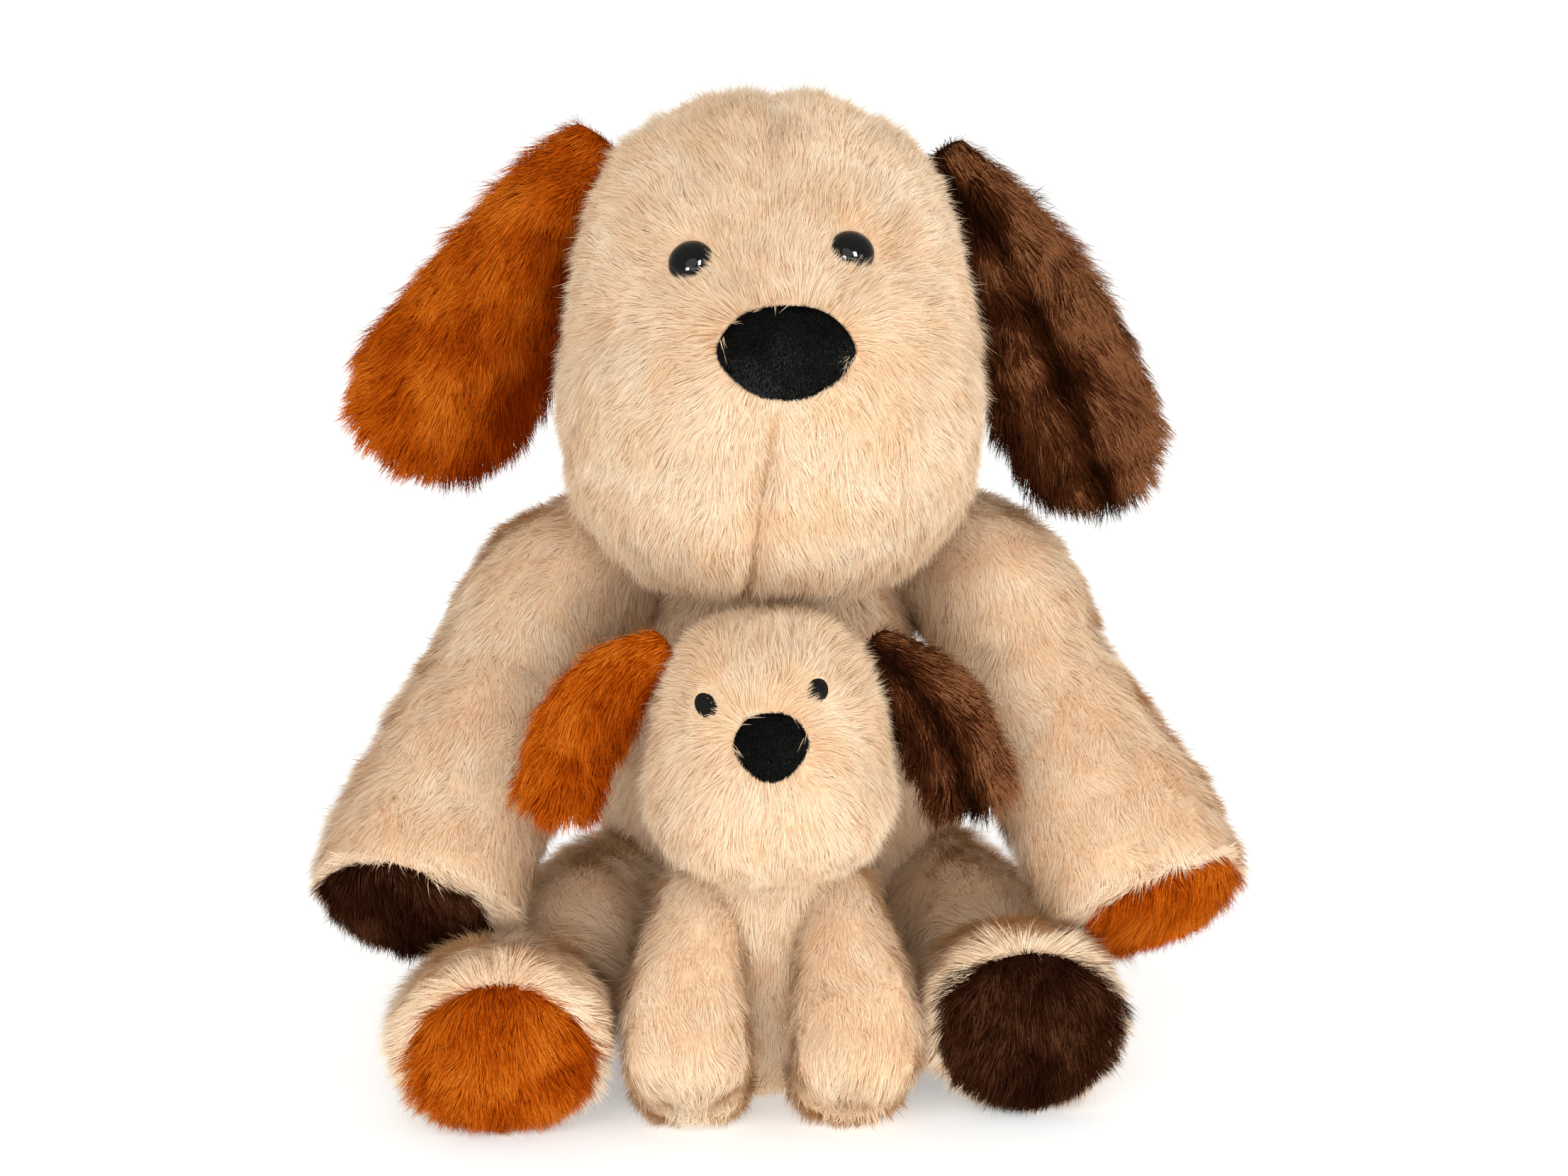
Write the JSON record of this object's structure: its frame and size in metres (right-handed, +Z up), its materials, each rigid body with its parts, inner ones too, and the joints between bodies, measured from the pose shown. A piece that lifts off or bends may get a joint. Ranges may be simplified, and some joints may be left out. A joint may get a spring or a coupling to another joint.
{
  "type": "plush dog",
  "caption": "Seated long-pile plush dog with floppy ears, sole and paw pads, holding a matching puppy between its legs.",
  "frame": {"origin": "on the floor under the middle of the big dog's seat", "axes": "+Z up, the dogs face -Y, +X to the dog's left"},
  "size_m": [0.3132, 0.2865, 0.331],
  "materials": {
    "cream_fur": "matte",
    "orange_fur": "matte",
    "brown_fur": "matte",
    "black_velour": "matte",
    "black_thread": "matte",
    "black_plastic": "gloss",
    "white_plastic": "matte",
    "stuffing": "matte",
    "bag_cloth": "matte",
    "label_satin": "satin"
  },
  "bodies": {
    "body": {"body_cover": "cream_fur", "body_stuffing": "stuffing", "pellet_bag": "bag_cloth", "care_label": "label_satin"},
    "neck": {"neck_stuffing": "stuffing"},
    "head": {"head_cover": "cream_fur", "head_stuffing": "stuffing", "nose_patch": "black_velour", "right_eye": "black_plastic", "right_eye_washer": "white_plastic", "left_eye": "black_plastic", "left_eye_washer": "white_plastic"},
    "right_ear": {"right_ear_front": "orange_fur", "right_ear_back": "orange_fur"},
    "left_ear": {"left_ear_front": "brown_fur", "left_ear_back": "brown_fur"},
    "right_arm": {"right_arm_cover": "cream_fur", "right_arm_stuffing": "stuffing", "right_paw_pad": "brown_fur"},
    "left_arm": {"left_arm_cover": "cream_fur", "left_arm_stuffing": "stuffing", "left_paw_pad": "orange_fur"},
    "right_leg": {"right_leg_cover": "cream_fur", "right_leg_stuffing": "stuffing", "right_sole_pad": "orange_fur"},
    "left_leg": {"left_leg_cover": "cream_fur", "left_leg_stuffing": "stuffing", "left_sole_pad": "brown_fur"},
    "tail": {"tail_cover": "cream_fur", "tail_stuffing": "stuffing"},
    "puppy_body": {"puppy_body_cover": "cream_fur", "puppy_body_stuffing": "stuffing", "puppy_pellet_bag": "bag_cloth"},
    "puppy_head": {"puppy_head_cover": "cream_fur", "puppy_head_stuffing": "stuffing", "puppy_nose_patch": "black_velour", "puppy_right_eye": "black_thread", "puppy_left_eye": "black_thread"},
    "puppy_right_ear": {"puppy_right_ear_front": "orange_fur", "puppy_right_ear_back": "orange_fur"},
    "puppy_left_ear": {"puppy_left_ear_front": "brown_fur", "puppy_left_ear_back": "brown_fur"},
    "puppy_right_front_leg": {"puppy_right_front_leg_cover": "cream_fur", "puppy_right_front_leg_stuffing": "stuffing"},
    "puppy_left_front_leg": {"puppy_left_front_leg_cover": "cream_fur", "puppy_left_front_leg_stuffing": "stuffing"},
    "puppy_right_hind_leg": {"puppy_right_hind_leg_cover": "cream_fur", "puppy_right_hind_leg_stuffing": "stuffing"},
    "puppy_left_hind_leg": {"puppy_left_hind_leg_cover": "cream_fur", "puppy_left_hind_leg_stuffing": "stuffing"},
    "puppy_tail": {"puppy_tail_cover": "cream_fur", "puppy_tail_stuffing": "stuffing"}
  },
  "joints": [
    {"name": "neck_turn", "type": "hinge", "parent": "body", "child": "neck", "pos_m": [0, 0, 0.15], "axis": [0, 0, 1], "range_deg": [-5, 5], "stiffness_Nm_per_rad": 1.5},
    {"name": "neck_nod", "type": "hinge", "parent": "neck", "child": "head", "pos_m": [0, 0, 0.15], "axis": [1, 0, 0], "range_deg": [-5, 6], "stiffness_Nm_per_rad": 3},
    {"name": "right_ear_flap", "type": "hinge", "parent": "head", "child": "right_ear", "pos_m": [-0.0695, -0.006, 0.308], "axis": [-0.3903, 0, -0.9207], "range_deg": [-25, 25], "stiffness_Nm_per_rad": 0.03},
    {"name": "left_ear_flap", "type": "hinge", "parent": "head", "child": "left_ear", "pos_m": [0.062, -0.006, 0.307], "axis": [0.3903, 0, -0.9207], "range_deg": [-25, 25], "stiffness_Nm_per_rad": 0.03},
    {"name": "right_arm_swing", "type": "hinge", "parent": "body", "child": "right_arm", "pos_m": [-0.061, 0.013, 0.161], "axis": [0, 1, 0], "range_deg": [0, 28], "stiffness_Nm_per_rad": 0.3},
    {"name": "left_arm_swing", "type": "hinge", "parent": "body", "child": "left_arm", "pos_m": [0.061, 0.013, 0.161], "axis": [0, -1, 0], "range_deg": [0, 28], "stiffness_Nm_per_rad": 0.3},
    {"name": "right_leg_splay", "type": "hinge", "parent": "body", "child": "right_leg", "pos_m": [-0.058, -0.01, 0.034], "axis": [0, 0, -1], "range_deg": [-2, 2], "stiffness_Nm_per_rad": 0.3},
    {"name": "left_leg_splay", "type": "hinge", "parent": "body", "child": "left_leg", "pos_m": [0.057, -0.01, 0.034], "axis": [0, 0, 1], "range_deg": [-2, 2], "stiffness_Nm_per_rad": 0.3},
    {"name": "tail_wag", "type": "hinge", "parent": "body", "child": "tail", "pos_m": [0, 0.07, 0.026], "axis": [0, 0, 1], "range_deg": [-30, 30], "stiffness_Nm_per_rad": 0.02},
    {"name": "puppy_slide", "type": "slide", "parent": "body", "child": "puppy_body", "axis": [0, -1, 0], "range_m": [0, 0.2]},
    {"name": "puppy_head_turn", "type": "hinge", "parent": "puppy_body", "child": "puppy_head", "pos_m": [-0.007, -0.098, 0.061], "axis": [0, 0, 1], "range_deg": [-15, 15], "stiffness_Nm_per_rad": 0.15},
    {"name": "puppy_right_ear_flap", "type": "hinge", "parent": "puppy_head", "child": "puppy_right_ear", "pos_m": [-0.042, -0.11, 0.157], "axis": [-0.4512, 0, -0.8924], "range_deg": [-25, 25], "stiffness_Nm_per_rad": 0.01},
    {"name": "puppy_left_ear_flap", "type": "hinge", "parent": "puppy_head", "child": "puppy_left_ear", "pos_m": [0.0295, -0.11, 0.157], "axis": [0.4512, 0, -0.8924], "range_deg": [-25, 25], "stiffness_Nm_per_rad": 0.01},
    {"name": "puppy_right_front_leg_swing", "type": "hinge", "parent": "puppy_body", "child": "puppy_right_front_leg", "pos_m": [-0.03, -0.106, 0.068], "axis": [-1, 0, 0], "range_deg": [0, 10], "stiffness_Nm_per_rad": 0.05},
    {"name": "puppy_left_front_leg_swing", "type": "hinge", "parent": "puppy_body", "child": "puppy_left_front_leg", "pos_m": [0.016, -0.106, 0.068], "axis": [-1, 0, 0], "range_deg": [0, 10], "stiffness_Nm_per_rad": 0.05},
    {"name": "puppy_right_hind_leg_splay", "type": "hinge", "parent": "puppy_body", "child": "puppy_right_hind_leg", "pos_m": [-0.03, -0.092, 0.015], "axis": [0, 0, -1], "range_deg": [-2, 2], "stiffness_Nm_per_rad": 0.05},
    {"name": "puppy_left_hind_leg_splay", "type": "hinge", "parent": "puppy_body", "child": "puppy_left_hind_leg", "pos_m": [0.016, -0.092, 0.015], "axis": [0, 0, 1], "range_deg": [-2, 2], "stiffness_Nm_per_rad": 0.05},
    {"name": "puppy_tail_wag", "type": "hinge", "parent": "puppy_body", "child": "puppy_tail", "pos_m": [-0.007, -0.054, 0.018], "axis": [0, 0, 1], "range_deg": [-10, 10], "stiffness_Nm_per_rad": 0.01}
  ]
}
